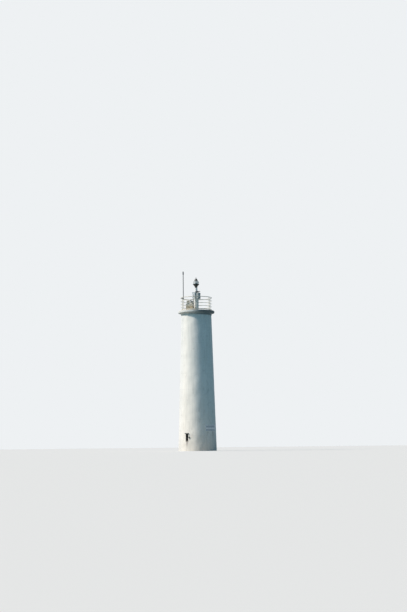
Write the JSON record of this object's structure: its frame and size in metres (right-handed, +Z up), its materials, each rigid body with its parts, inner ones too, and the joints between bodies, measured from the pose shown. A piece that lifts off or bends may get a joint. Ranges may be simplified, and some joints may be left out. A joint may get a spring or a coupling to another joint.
{
  "type": "lighthouse",
  "caption": "Small harbour lighthouse: a tapered white concrete tower with a railed gallery, a lantern on a steel column, a lightning mast and deck equipment.",
  "frame": {"origin": "centre of the tower's foot, on the ground", "axes": "+Z up the tower; -Y towards the side with the slit window; +Y towards the door"},
  "size_m": [3, 2.9998, 14.11],
  "materials": {
    "wall_paint": "white masonry paint on concrete, chalked and stained",
    "slab_paint": "white masonry paint on concrete, weathered",
    "bare_concrete": "bare trowelled concrete",
    "door_paint": "off-white gloss paint on steel, rust at the foot",
    "door_metal": "stainless steel, dulled by salt air",
    "window_paint": "dark grey paint",
    "window_pane": "wired glass, dirty",
    "cover_paint": "grey paint with rust at the lips",
    "rail_paint": "cream-white paint with rust spots",
    "mast_steel": "weathered galvanised steel, dark grey",
    "column_paint": "white paint, rust runs",
    "rusted_steel": "rusted steel",
    "plate_steel": "grey paint",
    "drum_paint": "matt grey paint",
    "solar_cells": "dark glazed cells in an aluminium frame",
    "box_paint": "beige paint",
    "board_paint": "grey-green paint",
    "pipe_paint": "white paint",
    "conduit_steel": "grey galvanised pipe",
    "lantern_paint": "dark green-grey enamel",
    "lens_clear": "clear moulded lens",
    "lamp_housing": "dark lamp housing"
  },
  "bodies": {
    "root": {"battery_box": "box_paint", "battery_lid": "box_paint", "cable_conduit": "conduit_steel", "column_base": "rusted_steel", "column_head_plate": "plate_steel", "control_cabinet": "column_paint", "cornice": "slab_paint", "door_frame": "door_paint", "door_hardware": "door_metal", "door_leaf": "door_paint", "gallery_slab": "slab_paint", "ground_floor": "bare_concrete", "hatch_cover": "cover_paint", "hatch_curb": "bare_concrete", "lantern_body": "lantern_paint", "lantern_cap": "lantern_paint", "lantern_column": "column_paint", "lantern_lamp": "lamp_housing", "lantern_lens": "lens_clear", "lantern_stem": "column_paint", "lightning_mast": "mast_steel", "mast_clamps": "mast_steel", "railing_bay_back_left": "rail_paint", "railing_bay_back_right": "rail_paint", "railing_bay_front_left": "rail_paint", "railing_bay_front_right": "rail_paint", "railing_bay_left": "rail_paint", "railing_bay_right": "rail_paint", "railing_posts": "rail_paint", "service_board": "board_paint", "signal_drum": "drum_paint", "solar_panel": "solar_cells", "stand_pipe": "pipe_paint", "wall_back_left": "wall_paint", "wall_back_right": "wall_paint", "wall_beside_door": "wall_paint", "wall_front": "wall_paint", "wall_front_left": "wall_paint", "wall_front_right": "wall_paint", "wall_left": "wall_paint", "wall_over_door": "wall_paint", "wall_right": "wall_paint", "window_frame": "window_paint", "window_glass": "window_pane", "window_hood": "window_paint"}
  },
  "joints": []
}
